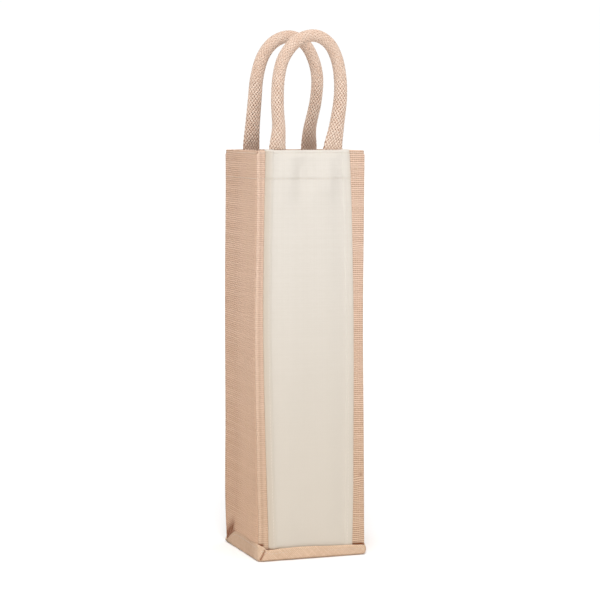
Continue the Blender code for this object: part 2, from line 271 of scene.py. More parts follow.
def on_wall(side, share, offset, depth, z):
    """Points on a wall: a share of its width plus an offset, at a depth under its outer face."""
    first, last = SIDES[side]
    a, b = corner_at(first, z), corner_at(last, z)
    width = np.linalg.norm(b - a, axis=-1)
    ahead = (b - a) / width[..., None]
    out = np.stack([ahead[..., 1], -ahead[..., 0]], -1)
    along = share * width + offset
    flat = a + ahead * along[..., None] + out * (slack(side, along / width, z) - depth)[..., None]
    return np.stack([flat[..., 0], flat[..., 1], z], -1)


# Mesh helpers.


def lengths_along(points):
    steps = np.linalg.norm(np.diff(points, axis=0), axis=-1)
    return np.concatenate([[0.0], np.cumsum(steps)])


def clear_selection():
    for chosen in list(bpy.context.selected_objects):
        chosen.select_set(False)


def make_active(piece):
    clear_selection()
    piece.select_set(True)
    bpy.context.view_layer.objects.active = piece


def piece_from(name, vertices, faces, corner_uv, material, crease=None):
    """A mesh object whose UV map, in metres, follows the cloth."""
    mesh = bpy.data.meshes.new(name)
    mesh.from_pydata(vertices, [], faces)
    layer = mesh.uv_layers.new(name="cloth")
    layer.data.foreach_set("uv", np.asarray(corner_uv, np.float32).ravel())
    mesh.materials.append(material)
    mesh.shade_smooth()
    piece = bpy.data.objects.new(name, mesh)
    bpy.context.scene.collection.objects.link(piece)
    # Painted shade, with one real dark slub on the front, as a value for each vertex for the material to
    # darken by.
    if crease is not None:
        mark(piece, "shade_and_slub", crease)
    return piece


def mark(piece, name, values):
    """A value for each vertex, for the material to read."""
    attribute = piece.data.attributes.new(name, "FLOAT", "POINT")
    attribute.data.foreach_set("value", np.asarray(values, np.float32).ravel())


def woven_sheet(name, points, uv, material, crease=None, closed=False):
    """A grid of points, rows by columns, as one sheet. Closed joins the last column to the first."""
    rows, columns = points.shape[:2]
    index = np.arange(rows * columns).reshape(rows, columns)
    if closed:
        index = np.concatenate([index, index[:, :1]], 1)
        wrapped = uv[:, :1] + np.array([2 * uv[0, -1, 0] - uv[0, -2, 0], 0.0]) - np.array([uv[0, 0, 0], 0.0])
        uv = np.concatenate([uv, wrapped], 1)
    corners = ((0, 0), (0, 1), (1, 1), (1, 0))
    tall, wide = index.shape[0] - 1, index.shape[1] - 1
    faces = np.stack([index[r : r + tall, c : c + wide] for r, c in corners], -1).reshape(-1, 4)
    corner_uv = np.stack([uv[r : r + tall, c : c + wide] for r, c in corners], 2).reshape(-1, 2)
    return piece_from(name, points.reshape(-1, 3), faces.tolist(), corner_uv, material, crease)


def apply_modifier(piece, kind, **settings):
    step = piece.modifiers.new(kind.lower(), kind)
    for key, value in settings.items():
        setattr(step, key, value)
    make_active(piece)
    bpy.ops.object.modifier_apply(modifier=step.name)


def thicken(piece, thickness):
    apply_modifier(piece, "SOLIDIFY", thickness=thickness, offset=0.0)


# Materials.


class Nodes:
    """Adds nodes to a tree and joins them. A value is a number, a tuple or another node's output."""

    def __init__(self, tree):
        self.tree = tree

    def add(self, kind, values=(), output=0, **settings):
        node = self.tree.nodes.new(kind)
        for key, value in settings.items():
            setattr(node, key, value)
        for key, value in dict(values).items():
            self.feed(node.inputs[key], value)
        return node.outputs[output] if output is not None else node

    def feed(self, socket, value):
        if isinstance(value, bpy.types.NodeSocket):
            self.tree.links.new(value, socket)
        else:
            socket.default_value = value

    def math(self, operation, *values, clamp=False):
        given = dict(enumerate(values))
        return self.add("ShaderNodeMath", given, operation=operation, use_clamp=clamp)

    def noise(self, place, scale, detail=2.0, roughness=0.5):
        given = {"Vector": place, "Scale": scale, "Detail": detail, "Roughness": roughness}
        return self.add("ShaderNodeTexNoise", given)

    def stretched(self, place, scale):
        return self.add("ShaderNodeVectorMath", {0: place, 1: scale}, operation="MULTIPLY")

    def band(self, value, start, end, low=0.0, high=1.0):
        given = {0: value, 1: start, 2: end, 3: low, 4: high}
        return self.add("ShaderNodeMapRange", given, interpolation_type="SMOOTHSTEP")

    def mix(self, share, first, second, blend="MIX"):
        node = self.add("ShaderNodeMix", output=None, data_type="RGBA", blend_type=blend)
        self.feed(node.inputs[0], share)
        self.feed(node.inputs[6], first)
        self.feed(node.inputs[7], second)
        return node.outputs[2]


def node_group(name, inputs, outputs):
    """An empty shader group with its sockets. Returns it with its nodes, entries and exits."""
    tree = bpy.data.node_groups.new(name, "ShaderNodeTree")
    for label, kind in inputs:
        tree.interface.new_socket(label, in_out="INPUT", socket_type=kind)
    for label, kind in outputs:
        tree.interface.new_socket(label, in_out="OUTPUT", socket_type=kind)
    nodes = Nodes(tree)
    entry = nodes.add("NodeGroupInput", output=None).outputs
    leave = nodes.add("NodeGroupOutput", output=None).inputs
    return tree, nodes, entry, leave


FLOAT, VECTOR = "NodeSocketFloat", "NodeSocketVector"


def plain_weave_group():
    """Over-and-under yarns. Weft runs along X of the place, and warp along its Y."""
    inputs = [("Place", VECTOR), ("Weft pitch", FLOAT), ("Warp pitch", FLOAT), ("Weft body", FLOAT),
              ("Wander", FLOAT)]
    outputs = [("Height", FLOAT), ("Gap", FLOAT), ("Tone", FLOAT)]
    tree, n, given, out = node_group("plain weave", inputs, outputs)
    place = given["Place"]
    parts = n.add("ShaderNodeSeparateXYZ", {0: place}, output=None).outputs
    drift = n.math("MULTIPLY", n.math("SUBTRACT", n.noise(place, 90.0), 0.5), given["Wander"])
    side_drift = n.math("MULTIPLY", n.math("SUBTRACT", n.noise(place, 140.0), 0.5), given["Wander"])
    x = n.math("DIVIDE", n.math("ADD", parts[0], side_drift), given["Warp pitch"])
    y = n.math("DIVIDE", n.math("ADD", parts[1], drift), given["Weft pitch"])
    weft_number, warp_number = n.math("FLOOR", y), n.math("FLOOR", x)

    def profile(at):
        return n.math("POWER", n.math("ABSOLUTE", n.math("SINE", n.math("MULTIPLY", at, math.pi))), 0.75)

    def rise(at, number):
        turn = n.math("ADD", n.math("SUBTRACT", at, 0.5), number)
        return n.math("COSINE", n.math("MULTIPLY", turn, math.pi))

    weft_rise = n.math("MULTIPLY_ADD", rise(x, weft_number), 0.5, 0.5)
    warp_rise = n.math("MULTIPLY_ADD", rise(y, warp_number), -0.5, 0.5)
    body = given["Weft body"]
    weft_level = n.math("ADD", body, n.math("MULTIPLY", n.math("SUBTRACT", 1.0, body), weft_rise))
    weft = n.math("MULTIPLY", profile(y), weft_level)
    warp = n.math("MULTIPLY", profile(x), warp_rise)
    height = n.math("MAXIMUM", weft, warp)
    n.feed(out["Height"], height)
    n.feed(out["Gap"], n.band(height, 0.2, 0.9, 1.0, 0.0))
    on_top = n.math("GREATER_THAN", weft, warp)
    number = n.math("ADD", n.math("MULTIPLY", on_top, weft_number),
                    n.math("MULTIPLY", n.math("SUBTRACT", 1.0, on_top), n.math("ADD", warp_number, 511.3)))
    each = n.add("ShaderNodeTexWhiteNoise", {"W": number}, noise_dimensions="1D")
    along_weft = n.noise(n.stretched(place, (1.0, 5.0, 1.0)), 160.0, 3.0)
    n.feed(out["Tone"], n.math("ADD", n.math("MULTIPLY", each, 0.4), n.math("MULTIPLY", along_weft, 0.6)))
    return tree


def twisted_yarn_group():
    """Plies that wind round a yarn. X of the place runs along it in metres and Y is once round."""
    inputs = [("Place", VECTOR), ("Plies", FLOAT), ("Lay", FLOAT)]
    tree, n, given, out = node_group("twisted yarn", inputs, [("Height", FLOAT), ("Fibre", FLOAT)])
    parts = n.add("ShaderNodeSeparateXYZ", {0: given["Place"]}, output=None).outputs
    turns = n.math("ADD", n.math("DIVIDE", parts[0], given["Lay"]), parts[1])
    wave = n.math("SINE", n.math("MULTIPLY", n.math("MULTIPLY", turns, given["Plies"]), 2 * math.pi))
    n.feed(out["Height"], n.math("MULTIPLY_ADD", wave, 0.5, 0.5))
    strands = n.stretched(given["Place"], (1500.0, 7.0, 1.0))
    n.feed(out["Fibre"], n.noise(strands, 1.0, 3.0))
    return tree


def fibre_fuzz_group():
    """Fine loose fibres as a height, and soft patches of fading as a shade, on the cloth's map."""
    tree, n, given, out = node_group("fibre fuzz", [("Place", VECTOR)], [("Fuzz", FLOAT), ("Fade", FLOAT)])
    hair = n.noise(n.stretched(given["Place"], (1.0, 2.6, 1.0)), 1900.0, 3.0, 0.65)
    n.feed(out["Fuzz"], hair)
    n.feed(out["Fade"], n.noise(given["Place"], 16.0, 2.0))
    return tree


WEAVE = plain_weave_group()
TWIST = twisted_yarn_group()
FUZZ = fibre_fuzz_group()


def cloth_material(name, roughness, sheen):
    """An empty Principled material. Returns it with its nodes, its shader and the cloth's map."""
    material = bpy.data.materials.new(name)
    material.use_nodes = True
    shader = material.node_tree.nodes["Principled BSDF"]
    shader.inputs["Roughness"].default_value = roughness
    shader.inputs["Specular IOR Level"].default_value = 0.1
    shader.inputs["Sheen Weight"].default_value = sheen
    shader.inputs["Sheen Roughness"].default_value = 0.6
    n = Nodes(material.node_tree)
    return material, n, shader, n.add("ShaderNodeUVMap", uv_map="cloth")


def placed_group(n, tree, values):
    node = n.add("ShaderNodeGroup", output=None, node_tree=tree)
    for key, value in values.items():
        n.feed(node.inputs[key], value)
    return node.outputs


def finish_cloth(n, shader, colour, height, distance):
    n.feed(shader.inputs["Base Color"], colour)
    bump = n.add("ShaderNodeBump", {"Height": height, "Distance": distance, "Strength": 1.0})
    n.feed(shader.inputs["Normal"], bump)


JUTE_LIGHT = (0.765, 0.565, 0.445, 1)
JUTE_DARK = (0.675, 0.475, 0.360, 1)
JUTE_GAP_SHADE = (0.36, 0.205, 0.13, 1)
JUTE_FIBRE = (0.92, 0.76, 0.62, 1)
JUTE_SHADE_AND_SLUB = (0.21, 0.060, 0.020, 1)
# What the colour is multiplied by at the foot, a painted shade that makes it darker and warmer towards the
# bottom, and everywhere. The sides' tint is painted shade too: it makes them a darker copy of the front's
# jute.
SIDE_FOOT_SHADE = (0.90, 0.86, 0.80, 1)
FRONT_FOOT_SHADE = (0.85, 0.82, 0.745, 1)
SIDE_SHADE_TINT = (0.965, 0.91, 0.86, 1)
CUFF_TINT = (1.10, 1.14, 1.12, 1)

CANVAS_DARK = (0.635, 0.590, 0.530, 1)
CANVAS_LIGHT = (0.665, 0.622, 0.566, 1)
CANVAS_GAP_SHADE = (0.55, 0.47, 0.37, 1)
CANVAS_FOOT_SHADE = (0.550, 0.488, 0.408, 1)
CANVAS_FLECK = (0.60, 0.50, 0.37, 1)
CANVAS_SHADE = (0.50, 0.405, 0.305, 1)
CANVAS_DEEP_SHADE = (0.24, 0.14, 0.085, 1)
CANVAS_WEFT, CANVAS_WARP = 0.62 * MM, 0.58 * MM

# The light and the dark of each yarn.
WEBBING_TONES = (0.84, 0.69, 0.575, 1), (0.74, 0.555, 0.435, 1)
FILLER_TONES = (0.88, 0.85, 0.78, 1), (0.74, 0.69, 0.60, 1)
THREAD_TONES = (0.67, 0.61, 0.54, 1), (0.66, 0.48, 0.37, 1)


def jute_material(name, turn=0.0, gap=0.95, pitch=1.0, body=0.92, tint=(1, 1, 1, 1), foot=SIDE_FOOT_SHADE):
    """Coarse plain weave with painted shade in the gaps between yarns. Turn sets the weave at an angle to the
    cloth's map.
    """
    material, n, shader, place = cloth_material(name, 0.93, 0.02)
    if turn:
        place = n.add("ShaderNodeMapping", {"Vector": place, "Rotation": (0, 0, turn)})
    weave = placed_group(n, WEAVE, {"Place": place, "Weft pitch": RIB * pitch, "Warp pitch": WARP * pitch,
                                    "Weft body": body, "Wander": 0.5 * MM})
    loose = placed_group(n, FUZZ, {"Place": place})
    smooth = n.add("ShaderNodeAttribute", output=2, attribute_name="smooth")
    tone = n.math("SUBTRACT", n.band(weave["Tone"], 0.22, 0.78), 0.5)
    tone = n.math("MULTIPLY_ADD", tone, n.math("MULTIPLY_ADD", smooth, -0.75, 1.0), 0.5)
    colour = n.mix(tone, JUTE_DARK, JUTE_LIGHT)
    colour = n.mix(n.band(loose["Fade"], 0.3, 0.7, 0.0, 0.15), colour, JUTE_DARK)
    colour = n.mix(n.band(loose["Fuzz"], 0.52, 0.75, 0.0, 0.10), colour, JUTE_FIBRE)
    shown = n.math("MULTIPLY", n.math("SUBTRACT", 1.0, smooth), gap)
    # Painted shade in the gaps between yarns, less where the cloth is smooth.
    colour = n.mix(n.math("MULTIPLY", weave["Gap"], shown), colour, JUTE_GAP_SHADE)
    # Painted shade from the vertex values, and the one real dark slub, in a dark red-brown.
    shade_and_slub_mark = n.add("ShaderNodeAttribute", output=2, attribute_name="shade_and_slub")
    colour = n.mix(n.math("MULTIPLY", shade_and_slub_mark, 0.95, clamp=True), colour, JUTE_SHADE_AND_SLUB)
    height = n.math("ADD", weave["Height"], n.math("MULTIPLY", loose["Fuzz"], 0.25))
    where = n.add("ShaderNodeTexCoord", output=3)
    up = n.add("ShaderNodeSeparateXYZ", {0: where}, output=2)
    # Painted shade: darker and warmer towards the foot.
    colour = n.mix(n.band(up, 0.30, 0.0, 0.0, 1.0), colour, foot, "MULTIPLY")
    # Multiplied by a tint: on the sides it is painted shade, which makes them darker than the front.
    colour = n.mix(1.0, colour, tint, "MULTIPLY")
    finish_cloth(n, shader, colour, height, 0.55 * MM)
    n.feed(shader.inputs["Roughness"], n.band(weave["Tone"], 0.2, 0.8, 0.96, 0.86))
    return material


def canvas_material():
    material, n, shader, place = cloth_material("canvas", 0.9, 0.1)
    weave = placed_group(n, WEAVE, {"Place": place, "Weft pitch": CANVAS_WEFT, "Warp pitch": CANVAS_WARP,
                                    "Weft body": 0.35, "Wander": 0.35 * MM})
    loose = placed_group(n, FUZZ, {"Place": place})
    colour = n.mix(n.band(weave["Tone"], 0.2, 0.8), CANVAS_DARK, CANVAS_LIGHT)
    # Faint painted shade in the gaps between yarns.
    colour = n.mix(n.math("MULTIPLY", weave["Gap"], 0.05), colour, CANVAS_GAP_SHADE)
    where = n.add("ShaderNodeTexCoord", output=3)
    up = n.add("ShaderNodeSeparateXYZ", {0: where}, output=2)
    # Painted shade: darker and warmer towards the foot.
    colour = n.mix(n.band(up, 0.36, 0.04, 0.0, 0.8), colour, CANVAS_FOOT_SHADE)
    flecks = n.noise(n.stretched(place, (1.0, 0.22, 1.0)), 620.0, 2.0)
    colour = n.mix(n.band(flecks, 0.70, 0.78, 0.0, 0.2), colour, CANVAS_FLECK)
    # Painted shade from the vertex values: dusky where light, dark brown where deepest.
    shade_and_slub_mark = n.add("ShaderNodeAttribute", output=2, attribute_name="shade_and_slub")
    shade_colour = n.mix(n.band(shade_and_slub_mark, 0.72, 1.0), CANVAS_SHADE, CANVAS_DEEP_SHADE)
    colour = n.mix(n.math("MULTIPLY", shade_and_slub_mark, 0.95, clamp=True), colour, shade_colour)
    height = n.math("ADD", weave["Height"], n.math("MULTIPLY", loose["Fuzz"], 0.3))
    finish_cloth(n, shader, colour, height, 0.08 * MM)
    n.feed(shader.inputs["Roughness"], n.band(loose["Fuzz"], 0.3, 0.7, 0.84, 0.94))
    return material


def yarn_material(name, light, dark, plies, lay, depth, gap=0.35):
    """Spun yarn: plies that wind round, fibres along them, a tone for each yarn, and painted shade in the
    grooves between the plies and from the vertex values.
    """
    material, n, shader, place = cloth_material(name, 0.88, 0.05)
    twist = placed_group(n, TWIST, {"Place": place, "Plies": plies, "Lay": lay})
    each = n.add("ShaderNodeAttribute", output=2, attribute_name="tone")
    tone = n.math("MULTIPLY_ADD", twist["Fibre"], 0.7, n.math("MULTIPLY", each, 0.45))
    colour = n.mix(n.band(tone, 0.15, 0.95), dark, light)
    # Painted shade in the grooves between the plies.
    colour = n.mix(n.band(twist["Height"], 0.0, 0.45, gap, 0.0), colour, (*[c * 0.62 for c in dark[:3]], 1))
    # Painted shade from the vertex values, in a dark red-brown.
    deep = n.add("ShaderNodeAttribute", output=2, attribute_name="shade_and_slub")
    yarn_shade = (0.62 * dark[0], 0.40 * dark[1], 0.29 * dark[2], 1)
    colour = n.mix(n.math("MULTIPLY", deep, 0.8, clamp=True), colour, yarn_shade)
    height = n.math("ADD", twist["Height"], n.math("MULTIPLY", twist["Fibre"], 0.5))
    finish_cloth(n, shader, colour, height, depth)
    n.feed(shader.inputs["Roughness"], n.band(twist["Fibre"], 0.3, 0.7, 0.8, 0.94))
    return material


def floor_material():
    material = bpy.data.materials.new("pale_floor")
    material.use_nodes = True
    shader = material.node_tree.nodes["Principled BSDF"]
    shader.inputs["Base Color"].default_value = (0.97, 0.97, 0.97, 1)
    shader.inputs["Roughness"].default_value = 0.95
    shader.inputs["Specular IOR Level"].default_value = 0.0
    return material


# The walls.


def rim_rows(step):
    """The rows of a panel, as (height, turn): up the outside, over the rim and down the hem."""
    count = int(round((FOLD_BASE - FOOT) / step))
    rows = [(FOOT + (FOLD_BASE - FOOT) * i / count, 0.0) for i in range(count + 1)]
    rows += [(FOLD_BASE, math.pi * i / 7) for i in range(1, 7)]
    down = int(round((FOLD_BASE - HEM_EDGE) / RIB))
    rows += [(FOLD_BASE - (FOLD_BASE - HEM_EDGE) * i / down, math.pi) for i in range(down + 1)]
    return np.array(rows)


def folded(depth, height, turn):
    """Depth and height after the panel has turned over the rim by an angle."""
    reach = FOLD_MIDDLE - depth
    return FOLD_MIDDLE - reach * np.cos(turn), height + reach * np.sin(turn)


def panel_columns(edge, middle):
    """Columns as (share, offset, depth): the edge section at both ends and shares in between."""
    first = [(0.0, along * MM, depth * MM) for along, depth in edge]
    last = [(1.0, -along * MM, depth * MM) for along, depth in reversed(edge)]
    return np.array(first + [(share, 0.0, JUTE / 2) for share in middle] + last)


def wall_shade_and_slub(side, points):
    """Painted shade: just above the cuff, in the gathers at the rear, above the cuff's tongue at the front
    left and beside that corner's bead; and a real dark slub on the front's right strip.
    """
    x, y, z = points[..., 0] / MM, points[..., 1] / MM, points[..., 2] / MM
    across = x if side in ("front", "back") else y
    over = z - through(CUFF_TOP[side], across)
    # Painted shadow in a line just above the cuff.
    dark = (0.1 if side == "left" else 0.4) * hump(over - 0.3, 1.1)
    if side == "front":
        # Painted shadow above the cuff on the right strip, and above the cuff's tongue at the left.
        dark = dark + 0.75 * ease((x - 38) / 2) * ease((50.5 - x) / 2) * hump(over - 0.8, 1.3)
        dark = dark + 0.95 * ease((-42.5 - x) / 1.5) * hump(over - 0.9, 1.2)
        # A real dark slub in the yarn.
        dark = dark + 0.8 * hump(x - 46.8, 0.5) * hump(z - 72, 1.5)
        # Painted shade in the valley beside the front left corner's bead.
        beside = x - corner_at(0, points[..., 2])[..., 0] / MM
        dark = dark + 0.2 * hump(beside - 2.9, 0.6)
    if side == "left":
        # Painted shade in the gathers at the rear of the left wall.
        pleats = 0.55 + 0.45 * np.sin(2 * math.pi * (y - 0.3 * z) / 3.4)
        rear = ease((y - 14) / 8) * ease((49 - y) / 3)
        dark = dark + 1.7 * pleats * rear * hump(over - 3.2, 3.6) + 0.4 * rear * hump(over - 7, 6)
    return np.clip(dark, 0, 1)


def wall(side, node, edge, material):
    extra = list(np.arange(0.06, 0.27, 0.014)) if side == "left" else list(np.arange(0.06, 0.27, 0.05))
    middle = extra + list(np.linspace(0.30, 0.94, 15 if FULL else 9))
    columns = panel_columns(edge, middle)
    rows = rim_rows(RIB / 4 if FULL else RIB)
    height, turn = rows[:, :1], rows[:, 1:]
    share, offset, depth = (np.broadcast_to(columns[:, i], (len(rows), len(columns))) for i in range(3))
    # At the rim the edge opens out flat, so that the hem turns in without a lump.
    flat = np.maximum(ease((height - (FOLD_BASE - 3 * MM)) / (3 * MM)), turn > 0)
    start = 0.55 * MM if edge is BEAD else 1.2 * MM
    opened = start + 2.0 * MM * turn / math.pi + np.linspace(0, 3.0 * MM, len(edge))
    opened = np.concatenate([opened, np.zeros((len(rows), len(middle))), -opened[:, ::-1]], 1)
    at_edge = (share == 0) | (share == 1)
    offset = np.where(at_edge, offset + (opened - offset) * flat, offset)
    depth = depth + (JUTE / 2 - depth) * flat
    depth_now, z = folded(depth, height, turn)
    cloth_v = np.concatenate([[0.0], np.cumsum(np.hypot(np.diff(depth_now[:, 12]), np.diff(z[:, 12])))])
    guess = share * 0.1 + offset
    low_right = hump(guess - 0.098, 0.02) * hump(height - 0.03, 0.06) if side == "front" else 0.0
    wander = (0.25 + 0.9 * low_right) * MM * ripple(side + " weft", guess, cloth_v[:, None], 0.03, 0.01)
    weft_at = cloth_v[:, None] + wander
    rib = RIB_HEIGHT * np.abs(np.sin(math.pi * weft_at / RIB)) * np.cos(turn)
    if edge is TUCK:
        rear = share if side == "right" else 1 - share
        smoothness = 0.9 - 0.9 * ease((rear - 0.35) / 0.4)
    else:
        smoothness = 0.8 * ease(-(guess - 0.012) / 0.003) if side == "front" else 0.0 * share
    rib = rib * (1 - 0.8 * smoothness)
    points = on_wall(side, share, offset, depth_now - rib, z)
    middle_row = points[len(points) // 2]
    cloth_u = lengths_along(middle_row)
    uv = np.stack(np.broadcast_arrays(cloth_u[None, :], weft_at), -1)
    # Painted shade and the one real slub, on the outer face only.
    crease = wall_shade_and_slub(side, points) * (turn < 0.1)
    piece = woven_sheet(f"{side}_wall", points, uv, material, crease)
    mark(piece, "smooth", smoothness * np.ones_like(crease))
    thicken(piece, JUTE)
    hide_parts(node)
    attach(piece, "bag")
    return piece


# The canvas.


def canvas_edge(table, z):
    return MM * through(table, z / MM)


def canvas_slack(x, z):
    """How far the canvas stands off the jute. It is sewn down at its side edges and its foot."""
    left, right = canvas_edge(CANVAS_LEFT, z), canvas_edge(CANVAS_RIGHT, z)
    share = (x - left) / (right - left)
    held = ease((np.minimum(share, 1 - share) - 0.08) / 0.22) * ease((z - 12 * MM) / 0.03)
    top = 1 - ease((z - 352 * MM) / (7 * MM))
    xm, zm = x / MM, z / MM
    waves = 1.2 * hump(xm - 17, 12) * hump(zm - 333, 16) - 1.0 * hump(xm + 8, 8) * hump(zm - 336, 20)
    waves = waves + 0.9 * hump(xm + 24, 8) * hump(zm - 334, 18) + 0.7 * hump(xm - 3, 24) * hump(zm - 262, 34)
    waves = waves + 0.55 * hump(xm + 12, 20) * hump(zm - 170, 60)
    waves = waves + 0.45 * hump(xm - 12, 16) * hump(zm - 75, 40)
    waves = waves + 0.2 * ripple("canvas", x, z, 0.09, 0.03)
    loose = 1.6 + 0.8 * hump(zm - 335, 24)
    swing = 1.2 + 1.6 * hump(zm - 335, 30)
    return MM * held * top * np.maximum(loose + swing * waves, 0.15)


def canvas_lift(z):
    """The canvas's steps: out over the hem behind it, and in at the rim row and the hem row."""
    hem = 0.55 * MM * ease((z - HEM_EDGE + 0.6 * MM) / (2.2 * MM))
    groove = -0.4 * MM * hump(z - RIM_ROW, 1.1 * MM) - 0.25 * MM * hump(z - HEM_ROW, 1.0 * MM)
    return hem + groove


def canvas_panel(material):
    """The cut is turned under at both sides, laid on the front and folded in over the rim."""
    under, over = -CANVAS / 2 - 0.05 * MM, -1.5 * CANVAS - 0.12 * MM
    turns = [math.pi * i / 5 for i in range(1, 5)]
    arc = [(-0.26 * MM * math.sin(turn), under + (over - under) * (1 - math.cos(turn)) / 2) for turn in turns]
    turned = [(CANVAS_TURN * (1 - i / 5), under) for i in range(6)] + arc
    proud = [(CANVAS_TURN * i / 6, over) for i in range(7)]
    settle = [(CANVAS_TURN + d * MM, over + (under - over) * ease(d / 1.3)) for d in (0.35, 0.7, 1.0, 1.3)]
    edge = turned + proud + settle
    middle = np.linspace(0.125, 0.875, 46 if FULL else 20)
    columns = [(0.0, o, d) for o, d in edge] + [(s, 0.0, under) for s in middle]
    columns = np.array(columns + [(1.0, -o, d) for o, d in reversed(edge)])
    step = 1.2 * MM if FULL else 4 * MM
    foot = FOOT + 0.3 * MM
    count = int((FOLD_BASE - foot) / step)
    rows = [(foot + (FOLD_BASE - foot) * i / count, 0.0) for i in range(count)]
    rows = [row for row in rows if row[0] < WAVES_FROM]
    fine = int((FOLD_BASE - WAVES_FROM) / (0.6 * MM))
    rows += [(WAVES_FROM + (FOLD_BASE - WAVES_FROM) * i / fine, 0.0) for i in range(fine + 1)]
    rows += [(FOLD_BASE, math.pi * i / 9) for i in range(1, 9)]
    rows += [(FOLD_BASE - (FOLD_BASE - HEM_EDGE) * i / 12, math.pi) for i in range(13)]
    rows = np.array(rows)
    height, turn = rows[:, :1], rows[:, 1:]
    share, offset, depth = (np.broadcast_to(columns[:, i], (len(rows), len(columns))) for i in range(3))
    left, right = canvas_edge(CANVAS_LEFT, height), canvas_edge(CANVAS_RIGHT, height)
    x = left + (right - left) * share + offset
    outside = np.cos(turn) > 0.9
    lift = canvas_lift(height)
    stand = (canvas_slack(x, height) + lift) * outside
    between_edges = (share != 0) * (share != 1)
    stand = np.where(depth == under, stand, stand * between_edges + lift * outside)
    depth_now, z = folded(depth, height, turn)
    a, b = corner_at(0, z), corner_at(1, z)
    wall_share = (x - a[..., 0]) / (b[..., 0] - a[..., 0])
    points = on_wall("front", wall_share, np.zeros_like(x), depth_now - stand, z)
    cloth_v = lengths_along(np.stack([depth_now[:, 20], z[:, 20]], -1))
    cloth_u = lengths_along(points[len(points) // 2])
    uv = np.stack(np.broadcast_arrays(cloth_u[None, :], cloth_v[:, None]), -1)
    # Painted shade: a dark line just above the cuff, deeper towards the left, and soft shade along both
    # turned side edges, wider at the left.
    over_cuff = points[..., 2] / MM - through(CUFF_TOP["front"], points[..., 0] / MM)
    crease = 0.9 * hump(over_cuff - 0.5, 0.9) * ease((-22 - points[..., 0] / MM) / 8)
    crease = crease + 0.3 * hump(over_cuff, 1.2)
    from_left, from_right = (x - left) / MM, (right - x) / MM
    crease = crease + 0.7 * np.clip(1 - from_left / 8, 0, 1)
    crease = np.clip(crease + 0.3 * np.clip(1 - from_right / 3.5, 0, 1), 0, 1) * outside
    piece = woven_sheet("canvas_cover", points, uv, material, crease)
    thicken(piece, CANVAS)
    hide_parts("canvas_panel")
    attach(piece, "bag")
    return piece


def front_surface(x, z):
    """Depth of the outermost cloth on the front at (x, z): canvas where there is canvas."""
    left, right = canvas_edge(CANVAS_LEFT, z), canvas_edge(CANVAS_RIGHT, z)
    if not left < x < right:
        return -RIB_HEIGHT
    from_edge = min(x - left, right - x)
    proud = 1 - ease((from_edge - CANVAS_TURN) / CANVAS_STEP)
    resting = -CANVAS - 0.05 * MM
    doubled = -2 * CANVAS - 0.12 * MM
    stand = canvas_lift(z) + canvas_slack(x, z) * (from_edge > CANVAS_TURN)
    return float(resting + (doubled - resting) * proud - stand)


# The base and its cuff.

# The corners of the cuff's plan, in millimetres: front left, front right, rear right, rear left.
CUFF_CORNERS = [(-50.1, -48.5), (51.0, -48.4), (51.2, 48.0), (-51.1, 48.4)]
CUFF_RADII = [3.6 * MM, 4.2 * MM, 3.4 * MM, 3.0 * MM]  # in the same order
CUFF_TURNED = 1.15 * MM  # from the middle of the cuff to the middle of its edge, turned in
CUFF_WALL_FOOT = 2.0 * MM  # the cuff stands upright from here
FLAP_STAND = 0.55 * MM  # how far the front flap stands over the side's tongue
FLOOR_TOP = 1.2 * MM  # faces with their centre below this are the floor


def cuff_outline(step):
    """Points round the foot, anticlockwise from the front left, with their outward directions."""
    half_x, half_y = CUFF_X, CUFF_Y
    signs = [(-1, -1), (1, -1), (1, 1), (-1, 1)]
    places, outward, sides = [], [], []
    names = ("front", "right", "back", "left")
    for number, (sx, sy) in enumerate(signs):
        radius = CUFF_RADII[number]
        middle = np.array([sx * (half_x - radius), sy * (half_y - radius)])
        start = math.pi + number * math.pi / 2
        for i in range(7):
            turn = start + i * math.pi / 12
            away = np.array([math.cos(turn), math.sin(turn)])
            places.append(middle + radius * away)
            outward.append(away)
            sides.append(names[number - 1] if i < 3 else names[number])
        after = (number + 1) % 4
        r2 = CUFF_RADII[after]
        end = np.array([signs[after][0] * (half_x - r2), signs[after][1] * (half_y - r2)]) + r2 * away
        length = np.linalg.norm(end - places[-1])
        count = int(length / step)
        begin = places[-1]
        for i in range(1, count):
            places.append(begin + (end - begin) * i / count)
            outward.append(away)
            sides.append(names[number])
    places = np.array(places)
    across, along = (places / (half_x, half_y) + 1).T[..., None] / 2
    shifts = np.array(CUFF_CORNERS) * MM - np.array(signs) * (half_x, half_y)
    front = shifts[0] * (1 - across) + shifts[1] * across
    back = shifts[3] * (1 - across) + shifts[2] * across
    return places + front * (1 - along) + back * along, np.array(outward), sides


def cuff_height(places, sides):
    tops = []
    for (x, y), side in zip(places, sides):
        tops.append(float(through(CUFF_TOP[side], (x if side in ("front", "back") else y) / MM)))
    tops = np.array(tops)
    for _ in range(2):
        tops = (np.roll(tops, 1) + 2 * tops + np.roll(tops, -1)) / 4
    return tops * MM


def fold_place(z):
    """Where the mitre fold crosses the front left corner of the cuff at height z."""
    return -48.6 * MM + 0.47 * (z - 1.5 * MM)


def mitre(x, z):
    """1 on the front flap of the cuff, 0 on the side's tongue under it."""
    return ease((x - fold_place(z)) / (0.8 * MM))


